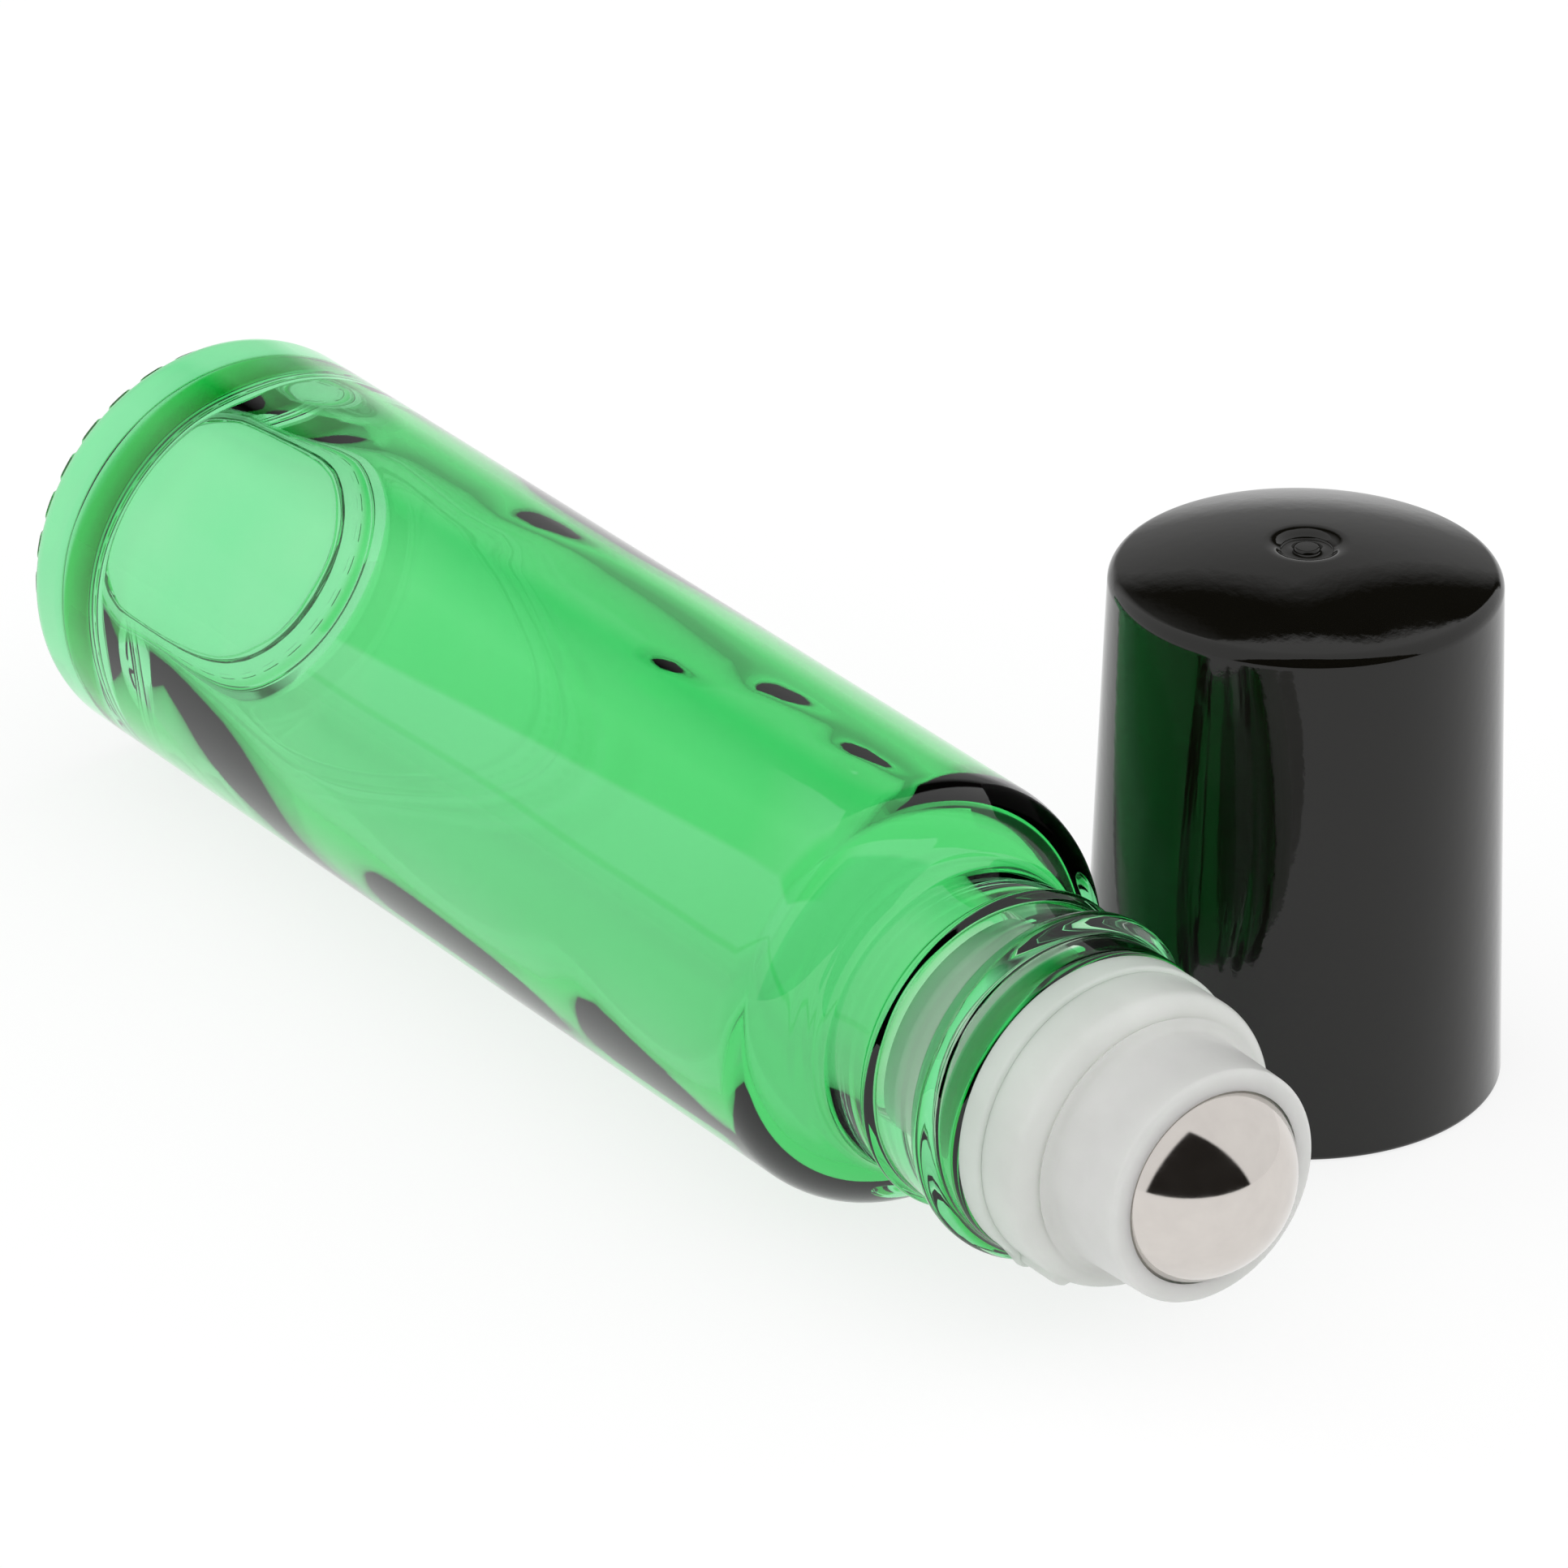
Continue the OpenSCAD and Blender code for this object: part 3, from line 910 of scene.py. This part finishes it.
def housing_material():
    """Milky moulded plastic, a little see-through where its walls are slim, with painted green
    light near the glass and a plug painted lighter.
    """
    material, nodes, links, shader = new_material("milky_plastic")
    cloud = add_noise(nodes, links, *HOUSING_CLOUD)
    milk = add_ramp(nodes, links, cloud, HOUSING_LOW, HOUSING_HIGH, *HOUSING_RAMP_SHARES)
    place = nodes.new("ShaderNodeTexCoord")
    along = nodes.new("ShaderNodeSeparateXYZ")
    links.new(place.outputs["Object"], along.inputs["Vector"])
    # Painted green light from the glass, fading out towards the nose
    nose_x = bottle_low.x + COLLAR_Z * MM
    green_x = nose_x - GREEN_LIGHT_REACH * MM
    green = add_range(nodes, links, along.outputs["X"], 1, 0, green_x, nose_x)
    # Painted light: the plug is whiter than the rest of the housing
    lip_x = bottle_low.x + GLASS_H * MM
    plug_x = lip_x - PLUG_REACH * MM
    plug = add_range(nodes, links, along.outputs["X"], 1, 0, plug_x, lip_x)
    colour = add_mix(nodes, links, green, milk.outputs["Color"], HOUSING_PAINTED_GREEN_LIGHT, "MULTIPLY")
    colour = add_mix(nodes, links, plug, colour, PLUG_PAINTED_LIGHT)
    links.new(colour, shader.inputs["Base Color"])
    clear = add_range(nodes, links, plug, HOUSING_CLEAR, PLUG_CLEAR)
    links.new(clear, shader.inputs["Transmission Weight"])
    shader.inputs["Subsurface Weight"].default_value = HOUSING_MILK
    shader.inputs["Subsurface Radius"].default_value = HOUSING_MILK_COLOR
    shader.inputs["Subsurface Scale"].default_value = HOUSING_MILK_REACH
    shader.inputs["IOR"].default_value = HOUSING_IOR
    grain = add_noise(nodes, links, *HOUSING_GRAIN)
    links.new(add_range(nodes, links, grain, *HOUSING_ROUGHNESS), shader.inputs["Roughness"])
    add_bump(nodes, links, shader, grain, *HOUSING_BUMP)
    return material


def steel_material():
    """Polished steel with the faint haze and hairlines of a rolled ball."""
    material, nodes, links, shader = new_material("polished_steel")
    shader.inputs["Metallic"].default_value = 1.0
    haze = add_noise(nodes, links, *STEEL_HAZE)
    steel = add_ramp(nodes, links, haze, STEEL_LOW, STEEL_HIGH)
    links.new(steel.outputs["Color"], shader.inputs["Base Color"])
    links.new(add_range(nodes, links, haze, *STEEL_ROUGHNESS), shader.inputs["Roughness"])
    add_bump(nodes, links, shader, haze, *STEEL_BUMP)
    return material


def cap_material():
    """Glossy black plastic with a trace of moulding texture."""
    material, nodes, links, shader = new_material("black_plastic")
    cloud = add_noise(nodes, links, *CAP_CLOUD)
    black = add_ramp(nodes, links, cloud, CAP_LOW, CAP_HIGH)
    links.new(black.outputs["Color"], shader.inputs["Base Color"])
    shader.inputs["IOR"].default_value = CAP_IOR
    links.new(add_range(nodes, links, cloud, *CAP_ROUGHNESS), shader.inputs["Roughness"])
    grain = add_noise(nodes, links, *CAP_GRAIN)
    add_bump(nodes, links, shader, grain, *CAP_BUMP)
    return material


# Stage: a pale floor, and a tent whose white panels leave dark gaps that gloss and glass show

STAGE_R_M = 3.0
STAGE_SEGMENTS = 128
STAGE_COLOR = (0.95, 0.95, 0.95, 1)
STAGE_SEEN_COLOR = (0.26, 0.26, 0.26, 1)
STAGE_OWN_WHITE = 0.79
TENT_LIGHT = 0.95
GAP_DARK = (0.020, 0.018, 0.016, 1)
GAP_EDGE = 0.02

# Azimuth and elevation in degrees of the corners of the gaps, and of the sweep in the back one.
# The back gap is whole on the side that BACK_FADE_SIDE points to, and fades out on the other.
FRONT_CORNERS = ((-78.5, -1.2), (31.4, -4.6), (-33.0, 68.6))
BACK_CORNERS = ((204, -3), (200, 30), (185, 50), (164, 58), (124, 57), (114, 40), (108, -3))
BACK_FADE_SIDE = (0.19, 0.98, 0)
BACK_FADE = 0.2
BACK_FADE_PLACE = -0.1
SWEEP_CORNERS = ((108, -6), (184, -6), (142, 47))
SWEEP_EDGE = 0.06
SWEEP_LEVEL = 0.5
DOWN = (0, 0, -1)
GLOW_EDGE = 0.08

# A ray that no dull surface has scattered yet has a diffuse depth below this
UNSCATTERED = 0.5


def make_floor():
    """The floor, which lights the bottle as pale paper does and itself looks close to white."""
    bm = bmesh.new()
    bmesh.ops.create_circle(bm, cap_ends=True, segments=STAGE_SEGMENTS, radius=STAGE_R_M)
    mesh = bpy.data.meshes.new("floor")
    bm.to_mesh(mesh)
    bm.free()
    floor = bpy.data.objects.new("floor", mesh)
    bpy.context.scene.collection.objects.link(floor)
    material, nodes, links, shader = new_material("pale_floor")
    path = nodes.new("ShaderNodeLightPath").outputs
    eye = add_math(nodes, links, "MAXIMUM", path["Is Camera Ray"], path["Is Glossy Ray"])
    eye = add_math(nodes, links, "MAXIMUM", eye, path["Is Transmission Ray"])
    colour = add_mix(nodes, links, eye, STAGE_COLOR, STAGE_SEEN_COLOR)
    links.new(colour, shader.inputs["Base Color"])
    shader.inputs["Roughness"].default_value = 1.0
    shader.inputs["Specular IOR Level"].default_value = 0.0
    shader.inputs["Emission Color"].default_value = WHITE
    glow = add_math(nodes, links, "MULTIPLY", eye, STAGE_OWN_WHITE)
    links.new(glow, shader.inputs["Emission Strength"])
    mesh.materials.append(material)


def direction(azimuth, elevation):
    """The direction to a place on the tent, given in degrees."""
    a, e = math.radians(azimuth), math.radians(elevation)
    return Vector((math.cos(a) * math.cos(e), math.sin(a) * math.cos(e), math.sin(e)))


def add_side(nodes, links, where, normal, edge, offset=0.0):
    """1 on one side of a plane across the tent and 0 on the other, with a soft edge."""
    side = nodes.new("ShaderNodeVectorMath")
    side.operation = "DOT_PRODUCT"
    side.inputs[1].default_value = normal
    links.new(where, side.inputs[0])
    return add_range(nodes, links, side.outputs["Value"], 0, 1, offset - edge, offset + edge)


def add_patch(nodes, links, where, corners, edge):
    """1 inside a convex part of the tent."""
    corners = [direction(*c) for c in corners]
    middle = sum(corners, Vector())
    inside = 1.0
    for start, end in zip(corners, corners[1:] + corners[:1]):
        normal = start.cross(end).normalized()
        if normal.dot(middle) < 0:
            normal = -normal
        share = add_side(nodes, links, where, normal, edge)
        inside = add_math(nodes, links, "MULTIPLY", share, inside)
    return inside


def front_gap(nodes, links, where, path):
    """The dark gap round the camera, which only gloss and glass show."""
    gap = add_patch(nodes, links, where, FRONT_CORNERS, GAP_EDGE)
    shown = add_math(nodes, links, "MAXIMUM", path["Is Glossy Ray"], path["Is Transmission Ray"])
    first = add_math(nodes, links, "LESS_THAN", path["Diffuse Depth"], UNSCATTERED)
    shown = add_math(nodes, links, "MULTIPLY", shown, first)
    return add_math(nodes, links, "MULTIPLY", gap, shown)


def back_gap(nodes, links, where, path):
    """The dark gap behind, with a pale sweep that is palest at its foot, hidden from the camera."""
    gap = add_patch(nodes, links, where, BACK_CORNERS, GAP_EDGE)
    fade = add_side(nodes, links, where, BACK_FADE_SIDE, BACK_FADE, BACK_FADE_PLACE)
    gap = add_math(nodes, links, "MULTIPLY", gap, fade)
    sweep = add_patch(nodes, links, where, SWEEP_CORNERS, SWEEP_EDGE)
    sweep = add_math(nodes, links, "MULTIPLY", sweep, SWEEP_LEVEL)
    foot = add_side(nodes, links, where, DOWN, GLOW_EDGE, -GLOW_EDGE)
    glow = add_math(nodes, links, "MULTIPLY", sweep, foot)
    lit = add_math(nodes, links, "ADD", sweep, glow)
    gap = add_math(nodes, links, "SUBTRACT", gap, lit)
    unseen = add_math(nodes, links, "SUBTRACT", 1, path["Is Camera Ray"])
    return add_math(nodes, links, "MULTIPLY", gap, unseen)


def make_world():
    """The tent, which is the only light beside the floor's own."""
    world = bpy.data.worlds.new("tent")
    bpy.context.scene.world = world
    world.use_nodes = True
    nodes, links = world.node_tree.nodes, world.node_tree.links
    where = nodes.new("ShaderNodeTexCoord").outputs["Generated"]
    path = nodes.new("ShaderNodeLightPath").outputs
    front = front_gap(nodes, links, where, path)
    back = back_gap(nodes, links, where, path)
    dark = add_math(nodes, links, "ADD", front, back)
    colour = add_mix(nodes, links, dark, WHITE, GAP_DARK)
    links.new(colour, nodes["Background"].inputs["Color"])
    nodes["Background"].inputs["Strength"].default_value = TENT_LIGHT


# Camera, as found from the outlines of the bottle and the cap in the photograph

CAMERA_AZIMUTH = math.radians(53.83)
CAMERA_ELEVATION = math.radians(27.252)
CAMERA_ROLL = math.radians(0.458)
CAMERA_PLACE = (382.417, -245.420, 230.282)
FOCAL_PIXELS = 13175.28
PHOTO_PIXELS = 1932
SENSOR_W = 36
CLIP_START_M = 0.01
CLIP_END_M = 20


def make_camera():
    """The camera of the photograph, placed from the spot where the base meets the floor."""
    a, e, roll = CAMERA_AZIMUTH, CAMERA_ELEVATION, CAMERA_ROLL
    back = Vector((math.sin(a) * math.cos(e), -math.cos(a) * math.cos(e), math.sin(e)))
    flat = Vector((math.cos(a), math.sin(a), 0))
    upright = back.cross(flat)
    right = math.cos(roll) * flat + math.sin(roll) * upright
    up = back.cross(right)
    base = Vector((bottle_low.x, (bottle_low.y + bottle_high.y) / 2, bottle_low.z))
    place = base + Vector(CAMERA_PLACE) * MM
    data = bpy.data.cameras.new("camera")
    data.sensor_width = SENSOR_W
    data.lens = FOCAL_PIXELS / PHOTO_PIXELS * SENSOR_W
    data.clip_start = CLIP_START_M
    data.clip_end = CLIP_END_M
    camera = bpy.data.objects.new("camera", data)
    camera.matrix_world = Matrix((
        (right.x, up.x, back.x, place.x),
        (right.y, up.y, back.y, place.y),
        (right.z, up.z, back.z, place.z),
        (0, 0, 0, 1),
    ))
    bpy.context.scene.collection.objects.link(camera)
    bpy.context.scene.camera = camera


bpy.context.scene.view_settings.view_transform = "Standard"
make_camera()
make_world()
make_floor()
make_bottle()
make_housing()
make_ball()
make_cap()
